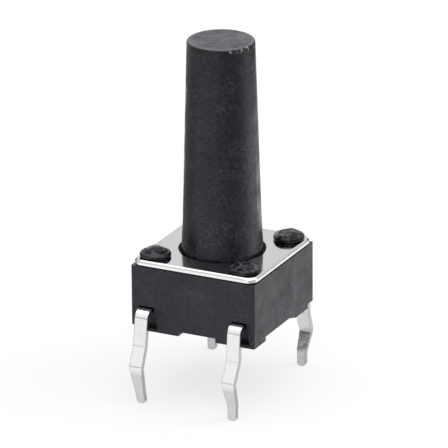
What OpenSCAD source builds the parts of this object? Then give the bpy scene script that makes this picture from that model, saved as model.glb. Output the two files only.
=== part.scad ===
// Tactile push button switch, 6 x 6 x 13 mm, for through-hole mounting.
//
// A square moulded housing carries two stamped terminal strips, a snap dome and a tall
// plunger. A flat steel cover, held by four heat-staked posts, keeps the plunger in.
// Pressing the plunger flattens the dome onto the centre contact.
//
// Frame: millimetres, +Z up along the plunger. The origin is the middle of the housing in
// the plane of the board. The leads leave the -Y and +Y sides and pass below that plane.

/* [Housing] */
// Width and depth of the square housing
body_w = 6.0; // [5.8:0.05:6.6]
// Height of the housing's rim above the board
rim_z = 2.97; // [2.95:0.01:3.4]
// Radius of the housing's upright corners
body_corner_r = 0.08; // [0.04:0.02:0.2]
// Height of the relieved underside above the board
underside_z = 0.2; // [0.1:0.02:0.3]
// Plastic over the terminal strips, up to the floor of the cavity
floor_skin = 0.12; // [0.06:0.02:0.2]

/* [Feet] */
// Width along X of the two short feet
short_foot_w = 1.9; // [1.5:0.05:2.3]
// Depth along Y of the two short feet
short_foot_d = 1.15; // [0.7:0.05:1.5]
// Width along X of the two long feet
long_foot_w = 2.3; // [1.9:0.05:2.6]
// Depth along Y of the two long feet
long_foot_d = 1.8; // [1.1:0.05:1.9]
// Length along Y of the ramp that leads onto a long foot
foot_ramp = 0.65; // [0.4:0.05:1]
// Side of the square notch at the outer corner of a long foot
foot_notch = 0.57; // [0.4:0.02:0.7]
// Height of that notch above the board
foot_notch_z = 0.2; // [0.16:0.02:0.4]

/* [Cover plate] */
// Thickness of the cover plate
cover_t = 0.28; // [0.15:0.01:0.4]
// Distance from the housing's side in to the edge of the cover
cover_inset = 0.02; // [0.01:0.01:0.1]
// Radius of the cover's corners
cover_corner_r = 0.45; // [0.2:0.05:0.6]

/* [Heat-staked posts] */
// Distance from the housing's sides to the axis of a post
post_inset = 0.81; // [0.78:0.01:0.88]
// Diameter of a post
post_d = 0.9; // [0.7:0.05:1]
// Gap around a post in its hole in the cover
post_play = 0.03; // [0.01:0.01:0.06]
// Diameter of a post's mushroom head
head_d = 1.38; // [1.3:0.02:1.46]
// Height of a head above the cover
head_h = 0.36; // [0.32:0.02:0.5]
// Radius of the rolled edge of a head
head_edge_r = 0.12; // [0.08:0.01:0.14]

/* [Plunger] */
// Height of the plunger's tip above the board
overall_h = 12.9; // [7:0.1:17]
// Diameter of the stem at its tip
tip_d = 3.0; // [2.6:0.05:3.2]
// Radius round the edge of the tip
tip_edge_r = 0.1; // [0.05:0.01:0.3]
// Diameter of the stem where its skirt begins
waist_d = 3.48; // [3.3:0.02:3.54]
// Diameter of the stem where it passes through the cover
root_d = 3.6; // [3.56:0.02:3.7]
// Height of the flared skirt above the cover
skirt_h = 1.3; // [0.8:0.1:2]
// Gap around the stem in its hole in the cover
stem_play = 0.12; // [0.05:0.01:0.2]
// Diameter of the flange under the cover
flange_d = 4.6; // [4.2:0.05:4.7]
// Thickness of the flange
flange_t = 0.6; // [0.4:0.05:0.7]
// Gap around the flange in the cavity
flange_play = 0.15; // [0.08:0.01:0.2]
// Gap between the flange and the cover when the button is up
flange_lift = 0.02; // [0.01:0.01:0.05]
// Diameter of the nub that pushes on the dome
nub_d = 1.4; // [1:0.1:1.8]
// Gap between the nub and the dome when the button is up
nub_play = 0.01; // [0.01:0.01:0.03]

/* [Snap dome] */
// Travel of the button until the dome meets the centre contact
travel = 0.25; // [0.2:0.01:0.3]
// Diameter of the dome at its rim
dome_d = 4.1; // [3.8:0.05:4.3]
// Thickness of the dome
dome_t = 0.07; // [0.05:0.01:0.1]
// Gap around the dome's rim in its pocket
dome_play = 0.15; // [0.08:0.01:0.2]
// Depth of the dome's pocket below the plunger's
dome_pocket = 0.5; // [0.44:0.02:0.6]

/* [Terminals] */
// Distance along X between the leads
lead_pitch = 4.5; // [4.4:0.05:4.6]
// Width of a lead and of its strip
lead_w = 0.62; // [0.54:0.02:0.7]
// Thickness of the terminal strip
strip_t = 0.22; // [0.18:0.01:0.26]
// Height of the strips' underside above the board
strip_z = 0.88; // [0.8:0.01:0.94]
// Height of the outer contacts above the cavity floor
pad_stand = 0.04; // [0.02:0.01:0.08]
// Height of the centre contact above the cavity floor
centre_stand = 0.06; // [0.04:0.01:0.1]
// Diameter of the outer contact pads
pad_d = 0.5; // [0.4:0.02:0.56]
// Diameter of the centre contact
centre_d = 0.9; // [0.8:0.05:1]
// Depth of the punch mark under each contact
punch_depth = 0.12; // [0.06:0.01:0.16]
// Width of the tongue that carries the centre contact
tongue_w = 0.7; // [0.5:0.05:0.9]
// Width of the two arms that carry the outer contacts
arm_w = 0.6; // [0.56:0.02:0.7]
// Angle of those arms' contacts round the dome, from the -X side
arm_angle = 52; // [48:1:56]

/* [Leads] */
// Gap between the housing's wall and a lead where it turns down
lead_gap = 0.27; // [0.24:0.01:0.34]
// Outward step of a lead on its way down to its neck
lean = 0.15; // [0.05:0.01:0.2]
// Further outward step of the front left lead at its neck
left_neck_step = 0.12; // [0:0.02:0.2]
// Length of the leads below the board
lead_depth = 3.2; // [2.9:0.05:3.6]
// Radius at the middle of the sheet where a lead turns down
turn_r = 0.3; // [0.24:0.01:0.34]
// Radius at the middle of the sheet of the smaller bends
kink_r = 0.24; // [0.15:0.01:0.26]
// Depth below the board where a front lead starts to splay
neck_depth = 0.5; // [0.3:0.02:0.7]
// Depth below the board of a front lead's kink
kink_depth = 1.38; // [1.2:0.02:1.5]
// Outward step of a front lead's kink
kink_step = 0.52; // [0.3:0.02:0.6]
// Depth below the board where a back lead starts to splay
back_neck_depth = 0.8; // [0.6:0.02:1]
// Depth below the board of a back lead's kink
back_kink_depth = 1.66; // [1.5:0.02:1.7]
// Outward step of a back lead's kink
back_kink_step = 0.34; // [0.2:0.02:0.44]
// Depth below the board where an upright foot begins
foot_depth = 2.5; // [2.3:0.02:2.6]
// Outward step of the front right lead's upright foot
front_foot_step = 0.1; // [0:0.02:0.2]
// Inward step of the back right lead's upright foot
back_foot_step = 0.12; // [0:0.02:0.2]
// Outward step of the front left lead's slanted tip
slanted_tip_step = -0.1; // [-0.2:0.02:0.1]
// Width of a lead at its narrow foot
foot_w = 0.4; // [0.34:0.01:0.5]
// Depth below the board where a lead starts to narrow
taper_depth = 1.3; // [1.1:0.05:1.5]
// Depth below the board where a lead has narrowed to its foot
taper_end = 2.7; // [2.3:0.05:2.9]
// Radius of the corners at the tip of a lead
tip_corner_r = 0.15; // [0.08:0.01:0.16]

/* [Lead slots] */
// Depth of the slot that the housing's wall has at each lead
slot_depth = 0.34; // [0.15:0.01:0.4]
// Gap around the lead at the top of its slot
slot_play = 0.05; // [0.01:0.01:0.08]
// Width that the slot gains on each side on its way down
slot_flare = 0.18; // [0.1:0.01:0.22]
// Height above the board where the slot starts to flare
slot_flare_z = 0.85; // [0.5:0.05:0.95]
// Height above the board of the sill at the foot of the slot
slot_sill_z = 0.15; // [0.05:0.01:0.3]

/* [Hidden] */

$fn = 48;
// how far a cutting shape reaches past the surface that it cuts
past = 0.5;

half_w = body_w / 2;

strip_top = strip_z + strip_t;
floor_z = strip_top + floor_skin;
pad_z = floor_z + pad_stand;
centre_z = floor_z + centre_stand;

crown_z = centre_z + travel + dome_t;
dome_rise = crown_z - pad_z;
dome_pocket_d = dome_d + 2 * dome_play;

cover_z = rim_z + cover_t;
hole_d = root_d + 2 * stem_play;

flange_top = rim_z - flange_lift;
flange_z = flange_top - flange_t;
nub_z = crown_z + nub_play;
plunger_pocket_d = flange_d + 2 * flange_play;

post_at = half_w - post_inset;

// distance from the middle of the housing to the middle of the sheet where a lead turns down
lead_at = half_w + lead_gap + strip_t / 2;
// heights of the middle of the strips
strip_mid = strip_z + strip_t / 2;
// radius of the circle on which the outer contacts lie, just inside the dome's rim
pad_circle = dome_d / 2 - dome_t;
// diameter of a punch mark for each millimetre of its contact's diameter
punch_share = 0.6;

// The bends of each lead, as [depth below the board, step out from its neck]. The last one
// lies below the tip, where the lead is cut off level.
cut_depth = lead_depth + strip_t;
left_splay = [[neck_depth, left_neck_step], [kink_depth, kink_step]];
right_splay = [[neck_depth, 0], [kink_depth, kink_step]];
back_splay = [[back_neck_depth, 0], [back_kink_depth, back_kink_step]];
front_left_bends = concat(left_splay, [[cut_depth, slanted_tip_step]]);
front_right_bends = concat(right_splay, upright_foot(front_foot_step));
back_left_bends = concat(back_splay, upright_foot(-back_foot_step / 2));
back_right_bends = concat(back_splay, upright_foot(-back_foot_step));
function upright_foot(step) = [[foot_depth, step], [cut_depth, step]];
// largest turn between two neighbouring points of a bend, in degrees
bend_step = 7;

// ---- housing ----

module housing() {
    color("#2c2c2f")
    difference() {
        union() {
            upright_block(body_w, underside_z, rim_z, body_corner_r);
            for (turn = [0, 180]) rotate(turn) {
                short_foot();
                long_foot();
            }
            for (x = [-1, 1], y = [-1, 1])
                translate([x * post_at, y * post_at, 0]) post();
        }
        cavity();
        for (turn = [0, 180]) rotate(turn) {
            corner_notch();
            for (x = [-1, 1]) translate([x * lead_pitch / 2, -half_w, 0]) lead_slot();
        }
        terminal_left();
        terminal_right();
    }
}

// A square block from z0 up to z1 with rounded upright corners.
module upright_block(w, z0, z1, r) {
    s = w / 2 - r;
    translate([0, 0, z0]) {
        translate([-w / 2, -s, 0]) cube([w, 2 * s, z1 - z0]);
        translate([-s, -w / 2, 0]) cube([2 * s, w, z1 - z0]);
        for (x = [-s, s], y = [-s, s])
            translate([x, y, 0]) cylinder(r = r, h = z1 - z0);
    }
}

// The foot at the +X, -Y corner; its twin is half a turn round.
module short_foot() {
    intersection() {
        upright_block(body_w, 0, underside_z + past, body_corner_r);
        translate([half_w - short_foot_w, -half_w, 0])
            cube([short_foot_w, short_foot_d, underside_z + past]);
    }
}

// The foot at the +X, +Y corner, with a ramp on its inner side.
module long_foot() {
    top = underside_z + past;
    y0 = half_w - long_foot_d;
    intersection() {
        upright_block(body_w, 0, top, body_corner_r);
        translate([half_w - long_foot_w, 0, 0])
            rotate([90, 0, 90])
                linear_extrude(long_foot_w)
                    polygon([[y0, 0], [half_w, 0], [half_w, top],
                             [y0 - foot_ramp, top], [y0 - foot_ramp, underside_z]]);
    }
}

// The notch under the outer corner of the long foot.
module corner_notch() {
    translate([half_w - foot_notch, half_w - foot_notch, -past])
        cube([foot_notch + past, foot_notch + past, past + foot_notch_z]);
}

// The dome's pocket with the wider pocket of the plunger's flange above it.
module cavity() {
    translate([0, 0, floor_z])
        cylinder(d = dome_pocket_d, h = rim_z - floor_z + past);
    translate([0, 0, floor_z + dome_pocket])
        cylinder(d = plunger_pocket_d, h = rim_z - floor_z + past);
}

// A heat-staked post with its mushroom head on top of the cover.
module post() {
    translate([0, 0, rim_z - post_d / 2])
        cylinder(d = post_d, h = cover_z - rim_z + head_edge_r + post_d / 2);
    translate([0, 0, cover_z]) head();
}

// The head's rolled edge is a ring, and its dome is a cap that runs smoothly into the ring.
module head() {
    ring_at = head_d / 2 - head_edge_r;
    drop = head_h - head_edge_r;
    cap_r = (pow(ring_at, 2) + pow(drop, 2) - pow(head_edge_r, 2))
            / (2 * (drop - head_edge_r));
    joint = head_h - cap_r + cap_r * cos(atan(ring_at / (cap_r - drop)));
    rotate_extrude() {
        square([ring_at, joint]);
        intersection() {
            translate([ring_at, head_edge_r]) circle(head_edge_r);
            square([head_d, head_h]);
        }
        intersection() {
            translate([0, head_h - cap_r]) circle(cap_r, $fn = 96);
            square([cap_r * sin(atan(ring_at / (cap_r - drop))), head_h]);
        }
    }
}

// The relief in the wall round and below a lead, here in the -Y wall at the middle.
module lead_slot() {
    half = lead_w / 2 + slot_play;
    top = strip_top + slot_play;
    translate([0, slot_depth, 0])
        rotate([90, 0, 0])
            linear_extrude(slot_depth + past)
                polygon([[-half, top], [-half, slot_flare_z],
                         [-half - slot_flare, slot_sill_z], [half + slot_flare, slot_sill_z],
                         [half, slot_flare_z], [half, top]]);
}

// ---- cover plate ----

module cover_plate() {
    color("#cfd1d4")
    difference() {
        upright_block(body_w - 2 * cover_inset, rim_z, cover_z, cover_corner_r);
        translate([0, 0, rim_z - past]) {
            cylinder(d = hole_d, h = cover_t + 2 * past);
            for (x = [-1, 1], y = [-1, 1])
                translate([x * post_at, y * post_at, 0])
                    cylinder(d = post_d + 2 * post_play, h = cover_t + 2 * past);
        }
    }
}

// ---- plunger ----

module plunger() {
    waist_z = cover_z + skirt_h;
    color("#303033")
    rotate_extrude() {
        polygon([[0, nub_z], [nub_d / 2, nub_z], [nub_d / 2, flange_z],
                 [flange_d / 2, flange_z], [flange_d / 2, flange_top],
                 [root_d / 2, flange_top], [root_d / 2, cover_z + travel],
                 [waist_d / 2, waist_z], [tip_d / 2, overall_h - tip_edge_r],
                 [tip_d / 2 - tip_edge_r, overall_h], [0, overall_h]]);
        translate([tip_d / 2 - tip_edge_r, overall_h - tip_edge_r]) circle(tip_edge_r);
    }
}

// ---- snap dome ----

// A thin spherical cap whose rim stands on the outer contacts.
module contact_dome() {
    outer_r = (pow(dome_d / 2, 2) + pow(dome_rise, 2)) / (2 * dome_rise);
    color("#c4c6c8")
    translate([0, 0, crown_z - outer_r])
        rotate_extrude($fn = 96)
            intersection() {
                difference() {
                    circle(outer_r, $fn = 360);
                    circle(outer_r - dome_t, $fn = 360);
                }
                translate([0, outer_r - dome_rise]) square([dome_d, dome_rise + past]);
            }
}

// ---- terminals ----

// The terminal that carries the centre contact on a tongue.
module terminal_left() {
    color("#e2e3e5")
    difference() {
        union() {
            translate([-lead_pitch / 2, 0, 0]) bent_strip(front_left_bends, back_left_bends);
            translate([-lead_pitch / 2, -tongue_w / 2, strip_z])
                cube([lead_pitch / 2, tongue_w, strip_t]);
            contact(centre_d, centre_z);
        }
        punch_mark(centre_d);
    }
}

// The terminal that carries the outer contacts: one on its strip, two on arms.
module terminal_right() {
    arm_pads = [for (side = [-1, 1])
                    pad_circle * [-cos(arm_angle), side * sin(arm_angle)]];
    pads = concat([[pad_circle, 0]], arm_pads);
    color("#e2e3e5")
    difference() {
        union() {
            translate([lead_pitch / 2, 0, 0]) bent_strip(front_right_bends, back_right_bends);
            for (pad = arm_pads) {
                translate([pad[0], pad[1] - arm_w / 2, strip_z])
                    cube([lead_pitch / 2 - pad[0], arm_w, strip_t]);
                translate([pad[0], pad[1], strip_z]) cylinder(d = arm_w, h = strip_t);
            }
            for (pad = pads) translate(pad) contact(pad_d, pad_z);
        }
        for (pad = pads) translate(pad) punch_mark(pad_d);
    }
}

// A contact raised out of the sheet, with its top at z.
module contact(d, z) {
    translate([0, 0, strip_z]) cylinder(d = d, h = z - strip_z);
}

// The punch mark that raising a contact leaves in the sheet's underside.
module punch_mark(d) {
    translate([0, 0, strip_z - past]) cylinder(d = punch_share * d, h = past + punch_depth);
}

// A strip through the housing that ends in two leads. Bends are listed from the board down.
module bent_strip(front_bends, back_bends) {
    reach = 2 * half_w;
    path = concat([for (b = reversed(front_bends)) [-lead_at - lean - b[1], -b[0]]],
                  [[-lead_at, strip_mid], [lead_at, strip_mid]],
                  [for (b = back_bends) [lead_at + lean + b[1], -b[0]]]);
    intersection() {
        translate([-lead_w / 2, 0, 0])
            rotate([90, 0, 90])
                linear_extrude(lead_w)
                    polygon(concat(sheet_face(path, 1), reversed(sheet_face(path, -1))));
        translate([0, reach, 0])
            rotate([90, 0, 0])
                linear_extrude(2 * reach)
                    lead_outline();
    }
}

// A lead seen from its broad side: it narrows below the kink to a foot with round corners.
module lead_outline() {
    tip = foot_w / 2 - tip_corner_r;
    side = [[lead_w / 2, strip_top + past], [lead_w / 2, -taper_depth],
            [foot_w / 2, -taper_end], [foot_w / 2, tip_corner_r - lead_depth]];
    polygon(concat(side, [for (p = reversed(side)) [-p[0], p[1]]]));
    translate([-tip, -lead_depth]) square([2 * tip, tip_corner_r + past]);
    for (x = [-tip, tip])
        translate([x, tip_corner_r - lead_depth]) circle(tip_corner_r);
}

function reversed(list) = [for (i = [len(list) - 1 : -1 : 0]) list[i]];

// ---- bent sheet, seen edge-on ----

function heading(a, b) = atan2(b[1] - a[1], b[0] - a[0]);
function along(angle) = [cos(angle), sin(angle)];
function across(angle) = [-sin(angle), cos(angle)];

// The wide bends are the two at the height of the strip.
function bend_r(corner) = corner[1] > 0 ? turn_r : kink_r;

// One face of the sheet along a path of corners: face is 1 on the left, -1 on the right.
function sheet_face(path, face) =
    let (last = len(path) - 1, off = face * strip_t / 2)
    concat([path[0] + off * across(heading(path[0], path[1]))],
           [for (i = [1 : last - 1]) each bend_face(path[i - 1], path[i], path[i + 1], off)],
           [path[last] + off * across(heading(path[last - 1], path[last]))]);

// The arc of a face, off from the middle of the sheet, round the corner b between a and c.
function bend_face(a, b, c, off) =
    let (first = heading(a, b), turn = heading(b, c) - first, r = bend_r(b),
         side = sign(turn), steps = ceil(abs(turn) / bend_step),
         centre = b - r * tan(abs(turn) / 2) * along(first) + side * r * across(first))
    [for (k = [0 : steps]) centre + (off - side * r) * across(first + turn * k / steps)];

housing();
cover_plate();
plunger();
contact_dome();
terminal_left();
terminal_right();
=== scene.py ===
"""The looks of a tactile push button switch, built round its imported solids.

Everything is in metres in the part's own frame: +Z up along the plunger, with the origin in
the middle of the housing in the plane of the board. The switch stands on its leads' tips.
"""

import math
import random

import bmesh
import bpy
from mathutils import Matrix, Vector, noise


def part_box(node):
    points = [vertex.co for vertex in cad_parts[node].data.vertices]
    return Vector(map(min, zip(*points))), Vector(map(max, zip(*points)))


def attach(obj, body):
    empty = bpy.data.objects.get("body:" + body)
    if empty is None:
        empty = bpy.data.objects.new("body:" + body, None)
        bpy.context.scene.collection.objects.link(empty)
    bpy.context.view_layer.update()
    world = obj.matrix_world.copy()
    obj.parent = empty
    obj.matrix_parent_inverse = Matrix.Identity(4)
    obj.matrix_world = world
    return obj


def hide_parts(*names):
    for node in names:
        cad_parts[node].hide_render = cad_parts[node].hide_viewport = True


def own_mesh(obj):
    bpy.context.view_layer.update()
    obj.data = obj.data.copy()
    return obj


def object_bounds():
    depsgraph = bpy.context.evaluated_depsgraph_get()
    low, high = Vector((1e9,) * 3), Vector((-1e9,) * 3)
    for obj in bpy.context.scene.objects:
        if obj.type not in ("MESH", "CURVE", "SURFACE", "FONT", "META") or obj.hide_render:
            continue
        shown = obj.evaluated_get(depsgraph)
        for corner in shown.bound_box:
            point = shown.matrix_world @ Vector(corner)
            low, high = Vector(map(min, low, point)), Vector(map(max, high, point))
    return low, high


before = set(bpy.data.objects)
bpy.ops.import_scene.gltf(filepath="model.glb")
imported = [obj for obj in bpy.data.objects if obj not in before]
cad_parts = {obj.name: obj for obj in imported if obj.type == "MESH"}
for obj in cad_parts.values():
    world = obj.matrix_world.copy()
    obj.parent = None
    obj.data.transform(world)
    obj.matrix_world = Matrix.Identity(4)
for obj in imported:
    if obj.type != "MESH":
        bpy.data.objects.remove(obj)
bpy.context.view_layer.update()
cad_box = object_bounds()

MM = 0.001

# The camera: where it stands round the object, with angles in degrees, its focal length in
# millimetres, and the point that it looks at, to the right of the axis and above the board.
CAMERA_AZIMUTH = 26.35
CAMERA_ELEVATION = 20.73
CAMERA_ROLL = -0.42
CAMERA_DISTANCE = 250.3 * MM
CAMERA_LENS = 458.0
AIM_ACROSS = 0.077 * MM
AIM_HEIGHT = 4.346 * MM

# The cover plate: its corners and holes as in the solid, and the worn edges that the solid
# leaves out. A bevel between two rounds runs along its upper edge, and its underside lifts off
# the plastic for COVER_LIFT along the rim.
COVER_CORNER = 0.45 * MM
COVER_BEVEL = 0.1 * MM
COVER_LIFT = 0.16 * MM
COVER_GAP = 0.04 * MM
LOWER_ROUND = 0.05 * MM
UPPER_ROUND = 0.04 * MM
EDGE_FLAT = 0.02 * MM
HOLE_RADIUS = 1.92 * MM
HOLE_ROLL = 0.05 * MM
POST_HOLE_RADIUS = 0.48 * MM

# The staked heads, in the order of head_boxes: how high each one rises, and how pointed it is
# (1 is an even dome). Each has a round belly, lies as a skin over the solid's own head, and
# gets blows from the tool that go astray by HEAD_STRAY and cut in by HEAD_DENTS millimetres.
# Small lumps come last.
HEAD_SHAPES = ((0.5 * MM, 1.7), (0.42 * MM, 1.2), (0.44 * MM, 1.2), (0.4 * MM, 0.9))
HEAD_BELLY = 0.12 * MM
HEAD_SKIN = 0.015 * MM
HEAD_BLOWS = 40
HEAD_STRAY = 0.12
HEAD_DENTS = (0.01, 0.04)
HEAD_LUMP = 0.015 * MM
HEAD_LUMP_SIZE = 0.15 * MM

# What the materials draw: the painted light and shade round the flat of the stem's tip, the
# painted shade at the foot of each staked head, and the height where painted shade on the leads
# begins.
TIP_FLAT_RADIUS = 1.35 * MM
TIP_EDGE_DEPTH = 0.2 * MM
TIP_EDGE_STRAY = 0.05 * MM
HEAD_FOOT = 0.14 * MM
LEAD_SHADE_HEIGHT = -1.6 * MM

# How thick the snap dome is, how many sides a round shape has, and how near to each other two
# places have to be to count as the same.
DOME_SHEET = 0.07 * MM
ROUND_STEPS = 96
TOUCH = 1e-7


# ---- helpers ----


def link(piece):
    """Puts an object into the scene."""
    bpy.context.scene.collection.objects.link(piece)


def add_mesh(name, bm, smooth_angle=35):
    """Turns bm into an object, shaded smooth but for edges sharper than smooth_angle."""
    bmesh.ops.recalc_face_normals(bm, faces=bm.faces)
    mesh = bpy.data.meshes.new(name)
    bm.to_mesh(mesh)
    bm.free()
    mesh.shade_smooth()
    mesh.set_sharp_from_angle(angle=math.radians(smooth_angle))
    piece = bpy.data.objects.new(name, mesh)
    link(piece)
    return piece


def circle_ring(bm, centre, radius, z, count):
    """A level ring of vertices round centre."""
    turns = [2 * math.pi * k / count for k in range(count)]
    return [bm.verts.new((centre[0] + radius * math.cos(t), centre[1] + radius * math.sin(t), z))
            for t in turns]


def lathe(profile, steps, centre=(0, 0)):
    """A closed solid of revolution about an upright axis; profile is [(radius, height), ...]."""
    bm = bmesh.new()
    rings = [circle_ring(bm, centre, radius, height, steps if radius else 1)
             for radius, height in profile]
    for low, high in zip(rings, rings[1:]):
        join_rings(bm, low, high)
    return bm


def join_rings(bm, low, high):
    """Faces between two closed rings of vertices, either of which may be a single point."""
    count = max(len(low), len(high))
    for k in range(count):
        corners = [low[k % len(low)], low[(k + 1) % len(low)],
                   high[(k + 1) % len(high)], high[k % len(high)]]
        bm.faces.new(list(dict.fromkeys(corners)))


def arc(centre, radius, first, last, steps):
    """Points on an arc in the plane of a profile, with its angles in degrees."""
    points = []
    for k in range(steps + 1):
        turn = math.radians(first + (last - first) * k / steps)
        points.append((centre[0] + radius * math.cos(turn), centre[1] + radius * math.sin(turn)))
    return points


# ---- the camera, the light and the floor ----


def aim_frame(azimuth, elevation):
    """The right, up and backward directions of a view from that side."""
    a, e = math.radians(azimuth), math.radians(elevation)
    back = Vector((math.sin(a) * math.cos(e), -math.cos(a) * math.cos(e), math.sin(e)))
    right = Vector((math.cos(a), math.sin(a), 0))
    return right, back.cross(right), back


def point_at(piece, aim, azimuth, elevation, distance, roll=0):
    """Places a camera or a light on that side of aim, looking at it."""
    right, up, back = aim_frame(azimuth, elevation)
    turn = Matrix((right, up, back)).transposed()
    turn = turn @ Matrix.Rotation(math.radians(roll), 3, "Z")
    piece.matrix_world = Matrix.Translation(aim + distance * back) @ turn.to_4x4()
    link(piece)


def make_camera():
    """The camera of the photo."""
    data = bpy.data.cameras.new("camera")
    data.lens = CAMERA_LENS
    data.clip_start = 10 * MM
    camera = bpy.data.objects.new("camera", data)
    right = aim_frame(CAMERA_AZIMUTH, CAMERA_ELEVATION)[0]
    aim = AIM_ACROSS * right + Vector((0, 0, AIM_HEIGHT))
    point_at(camera, aim, CAMERA_AZIMUTH, CAMERA_ELEVATION, CAMERA_DISTANCE, CAMERA_ROLL)
    bpy.context.scene.camera = camera


def softbox(name, radiance, azimuth, elevation, distance, size):
    """A square area light that faces the object and is as bright as radiance all over."""
    data = bpy.data.lights.new(name, "AREA")
    data.shape = "SQUARE"
    data.size = size
    data.energy = radiance * math.pi * size * size
    light = bpy.data.objects.new(name, data)
    light.visible_camera = False
    point_at(light, Vector((0, 0, 0)), azimuth, elevation, distance)


def matt_material(name, grey):
    """A material for the stage, with no gloss and a glow that is still off, and its shader."""
    material = bpy.data.materials.new(name)
    material.use_nodes = True
    shader = material.node_tree.nodes["Principled BSDF"]
    shader.inputs["Base Color"].default_value = (grey, grey, grey, 1)
    shader.inputs["Specular IOR Level"].default_value = 0
    shader.inputs["Emission Color"].default_value = (1, 1, 1, 1)
    return material, shader


def reflected_card(name, shade, bm):
    """A card that only reflections see: black at a shade of 0, white at 1, a light over it."""
    card = add_mesh(name, bm)
    material, shader = matt_material(name, 0)
    material.cycles.emission_sampling = "NONE"
    shader.inputs["Emission Strength"].default_value = shade
    card.data.materials.append(material)
    card.visible_camera = card.visible_diffuse = card.visible_shadow = False
    card.visible_transmission = False


def flat_card(name, shade, corners):
    """A card with four corners."""
    bm = bmesh.new()
    bm.faces.new([bm.verts.new(corner) for corner in corners])
    reflected_card(name, shade, bm)


def upright_card(name, shade, azimuth, distance, width, low, high):
    """A card that stands on that side of the object, from one height up to another."""
    right, _, back = aim_frame(azimuth, 0)
    flat_card(name, shade, [distance * back + side * width / 2 * right + Vector((0, 0, z))
                            for side, z in ((-1, low), (1, low), (1, high), (-1, high))])


def lying_card(name, shade, azimuth, near, far, width, height):
    """A card that lies at one height on that side of the object, from near it to far."""
    right, up, back = aim_frame(azimuth, 0)
    flat_card(name, shade, [distance * back + side * width / 2 * right + height * up
                            for side, distance in ((-1, near), (1, near), (1, far), (-1, far))])


def horizon_card(radius, low, high):
    """A dark strip that stands all round along the horizon."""
    bm = bmesh.new()
    join_rings(bm, *[circle_ring(bm, (0, 0), radius, z, ROUND_STEPS) for z in (low, high)])
    reflected_card("horizon_card", 0, bm)


def make_lights():
    """Two softboxes, and the cards whose reflections draw the steel, the tin and the stem."""
    ground = cad_box[0].z
    horizon_card(150 * MM, 5 * MM, 20 * MM)
    softbox("overhead_softbox", radiance=1.3, azimuth=60, elevation=80, distance=1.5, size=2.2)
    softbox("right_softbox", radiance=2.25, azimuth=120, elevation=30, distance=2, size=1)

    # Two grey cards at the sides dim the reflections there. Of the three others, right_card
    # shines up at the stem, rim_card behind it keeps the cover's rim dark, and back_card is
    # bright again.
    upright_card("left_card", 0.4, azimuth=-97, distance=15 * MM, width=22 * MM,
                 low=ground, high=9 * MM)
    upright_card("front_card", 0.5, azimuth=62, distance=17 * MM, width=28 * MM,
                 low=ground, high=19 * MM)
    lying_card("right_card", 1.7, azimuth=135, near=7 * MM, far=30 * MM, width=14 * MM,
               height=2 * MM)
    upright_card("rim_card", 0, azimuth=150, distance=31 * MM, width=30 * MM,
                 low=0, high=13 * MM)
    upright_card("back_card", 2.4, azimuth=217, distance=17 * MM, width=13 * MM,
                 low=0, high=7 * MM)


def seen_strength(tree, unseen, seen):
    """A strength for rays that only light the object, and one for rays that show something."""
    path = tree.nodes.new("ShaderNodeLightPath")
    shows = path.outputs["Is Camera Ray"]
    for ray in ("Is Glossy Ray", "Is Transmission Ray"):
        either = tree.nodes.new("ShaderNodeMath")
        either.operation = "MAXIMUM"
        tree.links.new(shows, either.inputs[0])
        tree.links.new(path.outputs[ray], either.inputs[1])
        shows = either.outputs[0]
    level = tree.nodes.new("ShaderNodeMapRange")
    level.inputs["To Min"].default_value = unseen
    level.inputs["To Max"].default_value = seen
    tree.links.new(shows, level.inputs["Value"])
    return level.outputs["Result"]


def make_world():
    """An even pale studio: dim for diffuse light, white for the camera and for reflections."""
    world = bpy.data.worlds.new("studio")
    world.use_nodes = True
    tree = world.node_tree
    background = tree.nodes["Background"]
    background.inputs["Color"].default_value = (1, 1, 1, 1)
    tree.links.new(seen_strength(tree, 0.4, 1.0), background.inputs["Strength"])
    bpy.context.scene.world = world


def make_floor():
    """A large pale floor at the tips of the leads, which keeps the object's shadow."""
    bm = bmesh.new()
    bmesh.ops.create_grid(bm, x_segments=1, y_segments=1, size=20)
    bmesh.ops.translate(bm, verts=bm.verts, vec=(0, 0, cad_box[0].z))
    floor = add_mesh("floor", bm)
    material, shader = matt_material("pale_floor", 0.3)
    shader.inputs["Roughness"].default_value = 1
    tree = material.node_tree
    tree.links.new(seen_strength(tree, 0.0, 0.72), shader.inputs["Emission Strength"])
    floor.data.materials.append(material)


# ---- materials ----


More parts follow.
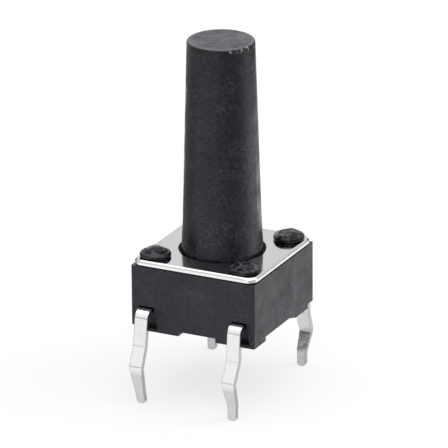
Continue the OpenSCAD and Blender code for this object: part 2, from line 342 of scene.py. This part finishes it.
class Finish:
    """A procedural material: a Principled shader with its bump and variation nodes."""

    def __init__(self, name, color, metallic, roughness, ior=1.45):
        self.material = bpy.data.materials.new(name)
        self.material.use_nodes = True
        self.tree = self.material.node_tree
        self.shader = self.tree.nodes["Principled BSDF"]
        self.shader.inputs["Base Color"].default_value = (*color, 1)
        self.shader.inputs["Metallic"].default_value = metallic
        self.shader.inputs["Roughness"].default_value = roughness
        self.shader.inputs["IOR"].default_value = ior
        self.coordinates = self.tree.nodes.new("ShaderNodeTexCoord")
        self.place = self.coordinates.outputs["Object"]

    def noise(self, size, detail, stretch=(1, 1, 1)):
        """Noise whose lumps are about size metres across, longer by stretch along each axis."""
        scale = self.tree.nodes.new("ShaderNodeMapping")
        scale.inputs["Scale"].default_value = [1 / s for s in stretch]
        self.tree.links.new(self.place, scale.inputs["Vector"])
        texture = self.tree.nodes.new("ShaderNodeTexNoise")
        texture.inputs["Scale"].default_value = 1 / size
        texture.inputs["Detail"].default_value = detail
        self.tree.links.new(scale.outputs["Vector"], texture.inputs["Vector"])
        return texture.outputs["Fac"]

    def spread(self, source, first, last, low=0.0, high=1.0):
        """Runs from low to high while source runs from first to last."""
        ramp = self.tree.nodes.new("ShaderNodeMapRange")
        ramp.inputs["From Min"].default_value = first
        ramp.inputs["From Max"].default_value = last
        ramp.inputs["To Min"].default_value = low
        ramp.inputs["To Max"].default_value = high
        self.tree.links.new(source, ramp.inputs["Value"])
        return ramp.outputs["Result"]

    def drive(self, socket, source):
        """Feeds one of the shader's own sockets."""
        self.tree.links.new(source, self.shader.inputs[socket])

    def vary(self, socket, source, low, high):
        """Lets a value of the shader run from low to high with a noise."""
        self.drive(socket, self.spread(source, 0.3, 0.7, low, high))

    def tint(self, source, low, high):
        """Lets the colour run from low to high as source runs from 0 to 1."""
        mix = self.tree.nodes.new("ShaderNodeMix")
        mix.data_type = "RGBA"
        mix.inputs["A"].default_value = (*low, 1)
        mix.inputs["B"].default_value = (*high, 1)
        self.tree.links.new(source, mix.inputs["Factor"])
        self.drive("Base Color", mix.outputs["Result"])

    def shade(self, source, color, blend="MULTIPLY"):
        """Blends a colour with the one that is there already, by as much as source says."""
        before = self.shader.inputs["Base Color"].links[0].from_socket
        mix = self.tree.nodes.new("ShaderNodeMix")
        mix.data_type = "RGBA"
        mix.blend_type = blend
        mix.inputs["B"].default_value = (*color, 1)
        self.tree.links.new(source, mix.inputs["Factor"])
        self.tree.links.new(before, mix.inputs["A"])
        self.drive("Base Color", mix.outputs["Result"])

    def math(self, operation, *sources):
        """A sum, product or the like of sockets and plain numbers."""
        node = self.tree.nodes.new("ShaderNodeMath")
        node.operation = operation
        for socket, source in zip(node.inputs, sources):
            if isinstance(source, (int, float)):
                socket.default_value = source
            else:
                self.tree.links.new(source, socket)
        return node.outputs[0]

    def along(self, output, axis):
        """One coordinate of the object's own place or normal."""
        split = self.tree.nodes.new("ShaderNodeSeparateXYZ")
        self.tree.links.new(self.coordinates.outputs[output], split.inputs[0])
        return split.outputs[axis]

    def reach(self):
        """The distance from the object's upright axis."""
        x, y = self.along("Object", "X"), self.along("Object", "Y")
        square = self.math("MULTIPLY_ADD", x, x, self.math("MULTIPLY", y, y))
        return self.math("SQRT", square)

    def bump(self, source, height):
        """Adds relief that is height metres deep, over what is there already."""
        node = self.tree.nodes.new("ShaderNodeBump")
        node.inputs["Distance"].default_value = height
        self.tree.links.new(source, node.inputs["Height"])
        before = self.shader.inputs["Normal"].links
        if before:
            self.tree.links.new(before[0].from_socket, node.inputs["Normal"])
        self.drive("Normal", node.outputs["Normal"])

    def soft_edges(self, radius):
        """Rounds the shading of sharp edges, and says where they are. It comes before any bump."""
        node = self.tree.nodes.new("ShaderNodeBevel")
        node.inputs["Radius"].default_value = radius
        self.drive("Normal", node.outputs["Normal"])
        flat = self.tree.nodes.new("ShaderNodeNewGeometry")
        turn = self.tree.nodes.new("ShaderNodeVectorMath")
        turn.operation = "DOT_PRODUCT"
        self.tree.links.new(node.outputs["Normal"], turn.inputs[0])
        self.tree.links.new(flat.outputs["Normal"], turn.inputs[1])
        return self.spread(turn.outputs["Value"], 0.995, 0.85)


def moulded_plastic(name, dark, light, roughness, ior, edge, tip=None):
    """Black moulded plastic, cloudy, with specks and grain that come and go.

    Where tip is given, it is the height of an end that gets painted light and shade: a paler top,
    a light line, a dark step and glints.
    """
    finish = Finish(name, dark, 0, roughness, ior)
    finish.shader.inputs["Specular Tint"].default_value = (0.96, 0.915, 1.0, 1)
    grainy = finish.spread(finish.noise(1.4 * MM, 2), 0.38, 0.62, 0.35, 1.0)
    specks = finish.spread(finish.noise(0.14 * MM, 2), 0.36, 0.76)
    finish.tint(finish.math("MULTIPLY", grainy, specks), dark, light)
    clouds = finish.spread(finish.noise(0.8 * MM, 3), 0.4, 0.65)
    finish.shade(clouds, (0.65, 0.65, 0.65))
    if tip:
        paint_tip_light_and_shade(finish, tip)
    finish.vary("Roughness", finish.noise(0.7 * MM, 4), roughness - 0.12, roughness + 0.12)
    finish.soft_edges(edge)
    finish.bump(finish.math("MULTIPLY", grainy, finish.noise(0.2 * MM, 2)), 0.018 * MM)
    finish.bump(finish.math("MULTIPLY", grainy, finish.noise(0.07 * MM, 2)), 0.006 * MM)
    return finish.material


def paint_tip_light_and_shade(finish, tip):
    """Paints light and shade on the stem's end: a paler top, a light line round it, a dark step
    and pale glints.
    """
    height = finish.along("Object", "Z")

    # The flat end, painted paler in patches as a painted highlight from above, with a painted
    # highlight in a line round it.
    flat = finish.spread(height, tip - 0.03 * MM, tip - 0.01 * MM)
    top_highlight = finish.spread(finish.noise(0.16 * MM, 2), 0.34, 0.62)
    finish.shade(finish.math("MULTIPLY", top_highlight, flat), (0.07, 0.066, 0.077), "MIX")
    line = finish.spread(finish.reach(), TIP_FLAT_RADIUS - 0.02 * MM, TIP_FLAT_RADIUS + 0.02 * MM)
    line = finish.math("MULTIPLY", line,
                       finish.spread(height, tip - 0.02 * MM, tip - 0.006 * MM))

    # The step below it, a band of painted shade whose lower side is ragged in small and in long
    # waves.
    ragged = height
    for size, detail, contrast in ((0.14 * MM, 2, 0.2), (1.2 * MM, 1, 0.15)):
        wave = finish.spread(finish.noise(size, detail), 0.5 - contrast, 0.5 + contrast,
                             -TIP_EDGE_STRAY, TIP_EDGE_STRAY)
        ragged = finish.math("ADD", ragged, wave)
    foot = tip - TIP_EDGE_DEPTH
    step = finish.math("MULTIPLY", finish.spread(ragged, foot, foot + 0.03 * MM),
                       finish.spread(height, tip - 0.006 * MM, tip - 0.02 * MM))
    # Painted shade on the step.
    finish.shade(step, (0.01, 0.01, 0.01))
    # Painted highlight: the light line round the flat end.
    finish.shade(line, (0.13, 0.125, 0.14), "MIX")

    # The painted glints, which are all on one side: towards +X and a little towards -Y.
    side = finish.math("SUBTRACT", finish.along("Object", "X"),
                       finish.math("MULTIPLY", finish.along("Object", "Y"), 0.4))
    glints = finish.math("MULTIPLY", finish.spread(finish.noise(0.2 * MM, 2), 0.5, 0.56),
                        finish.spread(side, TIP_FLAT_RADIUS, TIP_FLAT_RADIUS + 0.1 * MM))
    finish.shade(finish.math("MULTIPLY", glints, step), (0.36, 0.36, 0.37), "MIX")


def melted_plastic(seat):
    """The staked heads: shiny plastic, with painted highlights in random pale patches and painted
    shade where it meets seat.
    """
    finish = Finish("melted_plastic", (0.005, 0.0045, 0.006), 0, 0.3, ior=1.24)
    # Pale patches at random: painted highlights standing for light on the crumpled facets.
    facet_highlights = finish.spread(finish.noise(0.2 * MM, 3), 0.44, 0.62)
    finish.tint(facet_highlights, (0.001, 0.0007, 0.002), (0.09, 0.086, 0.098))
    # Painted shade at the foot of each head, where it meets the plate.
    foot = seat + HEAD_FOOT
    finish.shade(finish.spread(finish.along("Object", "Z"), foot + 0.1 * MM, foot),
                 (0.1, 0.1, 0.1))
    finish.vary("Roughness", finish.noise(0.15 * MM, 3), 0.2, 0.42)
    finish.bump(finish.noise(0.25 * MM, 3), 0.09 * MM)
    finish.bump(finish.noise(0.07 * MM, 2), 0.01 * MM)
    return finish.material


def polished_steel():
    """The cover's steel: near a mirror on top, with a painted white sheen on its sides and painted
    shade in its hole.
    """
    finish = Finish("polished_steel", (0.57, 0.57, 0.585), 1, 0.1)
    # Painted sheen: upright faces are tinted near white.
    upright = finish.spread(finish.along("Normal", "Z"), 0.5, 0.15)
    finish.tint(upright, (0.57, 0.57, 0.585), (0.88, 0.88, 0.885))
    # Painted shade on the wall of the plunger's hole.
    in_hole = finish.spread(finish.reach(), HOLE_RADIUS + HOLE_ROLL, HOLE_RADIUS + 0.01 * MM)
    finish.shade(in_hole, (0.1, 0.1, 0.1))
    finish.vary("Roughness", finish.noise(0.3 * MM, 3), 0.06, 0.13)
    finish.bump(finish.noise(1.5 * MM, 1), 0.002 * MM)
    finish.bump(finish.noise(0.08 * MM, 2), 0.0002 * MM)
    return finish.material


def tin_plate():
    """Bright tin on the leads, with painted shade on cut sides, edges and lower ends, wavy on the
    inside.
    """
    finish = Finish("tin_plate", (0.86, 0.86, 0.87), 1, 0.3)
    finish.tint(finish.noise(0.25 * MM, 3), (0.8, 0.8, 0.805), (0.9, 0.895, 0.89))
    # Painted shade on the cut sides of the strip.
    cut_side = finish.spread(finish.math("ABSOLUTE", finish.along("Normal", "X")), 0.5, 0.9)
    finish.shade(cut_side, (0.62, 0.62, 0.63))
    # Painted shade on the lower ends of the leads.
    lower_end = finish.spread(finish.along("Object", "Z"),
                              LEAD_SHADE_HEIGHT + 0.15 * MM, LEAD_SHADE_HEIGHT - 0.15 * MM)
    finish.shade(lower_end, (0.76, 0.755, 0.76))

    # The inner faces look back towards the middle of the switch, across Y.
    inward = finish.math("MULTIPLY", finish.along("Normal", "Y"), finish.along("Object", "Y"))
    inside = finish.spread(inward, 0, -2 * MM)
    rough = finish.spread(finish.noise(0.15 * MM, 3), 0.3, 0.7, 0.1, 0.22)
    finish.drive("Roughness", finish.math("MULTIPLY_ADD", inside, 0.35, rough))
    # Painted shade along the rounded edges of the leads.
    finish.shade(finish.soft_edges(0.06 * MM), (0.5, 0.5, 0.51))
    finish.bump(finish.noise(0.05 * MM, 2, (1, 1, 8)), 0.0006 * MM)
    finish.bump(finish.noise(0.3 * MM, 2), 0.004 * MM)
    finish.bump(finish.math("MULTIPLY", inside, finish.noise(0.4 * MM, 1)), 0.12 * MM)
    return finish.material


def spring_steel():
    """The hidden snap dome: satin strip with a fine grain."""
    finish = Finish("spring_steel", (0.6, 0.6, 0.61), 1, 0.3)
    finish.vary("Roughness", finish.noise(0.1 * MM, 3, (10, 1, 1)), 0.22, 0.36)
    finish.bump(finish.noise(0.03 * MM, 2, (10, 1, 1)), 0.0005 * MM)
    return finish.material


def paint(node, material):
    """Gives a CAD node its material."""
    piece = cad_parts[node]
    for place in piece.material_slots:
        place.material = material


# ---- pieces ----


def rounded_square(half, radius, corner_steps, side_steps):
    """Points round a square with round corners, the same number whatever its size."""
    straight = half - radius
    side = [(half, -straight + 2 * straight * k / side_steps) for k in range(side_steps)]
    quarter = side + arc((straight, straight), radius, 0, 90, corner_steps)[:-1]
    points = []
    for number in range(4):
        turn = Matrix.Rotation(math.pi / 2 * number, 2)
        points += [turn @ Vector(point) for point in quarter]
    return points


def fill_between(bm, rings):
    """A flat face with holes, bounded by rings that are there already."""
    edges = [bm.edges.get((ring[k - 1], ring[k])) for ring in rings for k in range(len(ring))]
    bmesh.ops.triangle_fill(bm, edges=edges, use_beauty=True)


def cover_edge(low, high):
    """The cover's outer edge in section, from below: pairs of an inset and a height."""
    edge = high - COVER_BEVEL
    lean = 0.7 * UPPER_ROUND  # where the bevel, at about 45 degrees, runs into the upper round
    points = [(COVER_LIFT, low), (EDGE_FLAT, low + COVER_GAP), (0, low + 1.5 * COVER_GAP)]
    points += [(LOWER_ROUND - x, z) for x, z in
               arc((0, edge - EDGE_FLAT), LOWER_ROUND, 0, 45, steps=4)]
    points += [(COVER_BEVEL - EDGE_FLAT + x, z) for x, z in
               arc((lean, high - UPPER_ROUND), UPPER_ROUND, 135, 90, steps=3)]
    points.append((points[-1][0] + EDGE_FLAT, high))
    return points


def cover_hole(low, high):
    """The edge of the plunger's hole in section, from above: pairs of a radius and a height."""
    rolled = HOLE_RADIUS + HOLE_ROLL
    points = [(rolled + EDGE_FLAT, high)]
    points += [(rolled - x, z) for x, z in
               arc((0, high - HOLE_ROLL), HOLE_ROLL, 90, 0, steps=5)]
    points.append((HOLE_RADIUS, low))
    return points


def make_cover():
    """The cover plate with its worn edges, its round hole and the four holes of the posts."""
    low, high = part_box("cover_plate")
    bm = bmesh.new()
    sides = []
    for inset, z in cover_edge(low.z, high.z):
        outline = rounded_square(high.x - inset, COVER_CORNER - inset,
                                 corner_steps=12, side_steps=24)
        sides.append([bm.verts.new((x, y, z)) for x, y in outline])
    count = len(sides[0])
    walls = [sides, [circle_ring(bm, (0, 0), radius, z, count)
                     for radius, z in cover_hole(low.z, high.z)]]
    for lowest, highest in head_boxes():
        centre = (lowest + highest) / 2
        walls.append([circle_ring(bm, centre, POST_HOLE_RADIUS, z, ROUND_STEPS // 2)
                      for z in (high.z, low.z)])
    for rings in walls:
        for near, far in zip(rings, rings[1:]):
            join_rings(bm, near, far)
    fill_between(bm, [sides[-1]] + [rings[0] for rings in walls[1:]])
    fill_between(bm, [sides[0]] + [rings[-1] for rings in walls[1:]])
    cover = add_mesh("cover_shell", bm)
    cover.data.materials.append(polished_steel())
    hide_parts("cover_plate")
    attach(cover, "base")


def head_boxes():
    """The lowest and highest corner of each staked head, from the housing's own mesh."""
    cover_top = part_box("cover_plate")[1].z
    boxes = []
    for sx in (-1, 1):
        for sy in (-1, 1):
            points = [v.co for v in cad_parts["housing"].data.vertices
                      if v.co.z > cover_top - TOUCH and v.co.x * sx > 0 and v.co.y * sy > 0]
            boxes.append([Vector([pick(p[i] for p in points) for i in range(3)])
                          for pick in (min, max)])
    return boxes


def head_profile(low, radius, rise, peak):
    """A staked head in section: a round belly on the plate, with a dome over it."""
    belly = low + HEAD_BELLY
    points = [(0, low)]
    points += arc((radius - HEAD_BELLY, belly), HEAD_BELLY, -90, 0, steps=6)
    steps = 24
    for k in range(1, steps):
        turn = math.pi / 2 * k / steps
        points.append((radius * math.cos(turn),
                       belly + (rise - HEAD_BELLY) * math.sin(turn) ** peak))
    points.append((0, low + rise))
    return points


def hammer(bm, middle, seat, number):
    """Flattens a head with blows from all round, which leave what lies at seat as it is."""
    bm.normal_update()
    surface = [(v.co.copy(), v.normal.copy()) for v in bm.verts if v.co.z > seat]
    draw = random.Random(number)
    for spot, facing in draw.sample(surface, HEAD_BLOWS):
        outward = facing if facing.dot(spot - middle) > 0 else -facing
        stray = Vector([draw.uniform(-HEAD_STRAY, HEAD_STRAY) for axis in range(3)])
        blow = (outward + stray).normalized()
        stop = (spot - middle).dot(blow) - draw.uniform(*HEAD_DENTS) * MM
        for v in bm.verts:
            over = (v.co - middle).dot(blow) - stop
            if over > 0 and v.co.z > seat:
                v.co -= over * blow


def make_head(number, low, high, material):
    """One staked head: a low melted dome, hammered by the tool and lumpy all over."""
    centre = (low + high) / 2
    radius = (high.x - low.x) / 2 + HEAD_SKIN
    profile = head_profile(low.z, radius, *HEAD_SHAPES[number - 1])
    bm = lathe(profile, ROUND_STEPS, centre.xy)
    middle = Vector((centre.x, centre.y, low.z + HEAD_BELLY))
    seat = low.z + TOUCH
    hammer(bm, middle, seat, number)
    seed = Vector((7.3 * number, 0, 0))
    for v in bm.verts:
        if v.co.z > seat:
            lump = noise.noise(v.co / HEAD_LUMP_SIZE + seed)
            v.co += HEAD_LUMP * lump * (v.co - middle).normalized()
    head = add_mesh(f"post_head_{number}", bm, 30)
    head.data.materials.append(material)
    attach(head, "base")


def make_dome():
    """The snap dome, a thin shell of spring steel."""
    low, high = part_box("contact_dome")
    rim, rise = high.x, high.z - low.z
    outer = (rim * rim + rise * rise) / (2 * rise)
    centre = high.z - outer
    limit = math.degrees(math.asin(rim / outer))
    profile = arc((0, centre), outer, 90, 90 - limit, steps=24)
    profile += arc((0, centre), outer - DOME_SHEET, 90 - limit, 90, steps=24)
    profile[0], profile[-1] = (0, high.z), (0, high.z - DOME_SHEET)
    dome = add_mesh("snap_dome", lathe(profile, ROUND_STEPS))
    dome.data.materials.append(spring_steel())
    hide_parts("contact_dome")
    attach(dome, "base")
    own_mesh(dome)


make_camera()
make_lights()
make_world()
make_floor()

body_plastic = moulded_plastic(
    "housing_plastic", dark=(0.005, 0.004, 0.008), light=(0.058, 0.052, 0.07),
    roughness=0.42, ior=1.5, edge=0.03 * MM)
stem_plastic = moulded_plastic(
    "plunger_plastic", dark=(0.001, 0.0005, 0.003), light=(0.07, 0.065, 0.079),
    roughness=0.4, ior=1.45, edge=0.015 * MM, tip=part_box("plunger")[1].z)
tin = tin_plate()
paint("housing", body_plastic)
paint("plunger", stem_plastic)
paint("terminal_left", tin)
paint("terminal_right", tin)
make_cover()
staked = melted_plastic(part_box("cover_plate")[1].z)
for number, (low, high) in enumerate(head_boxes(), 1):
    make_head(number, low, high, staked)
make_dome()

bpy.context.scene.view_settings.view_transform = "Standard"
bpy.context.view_layer.update()
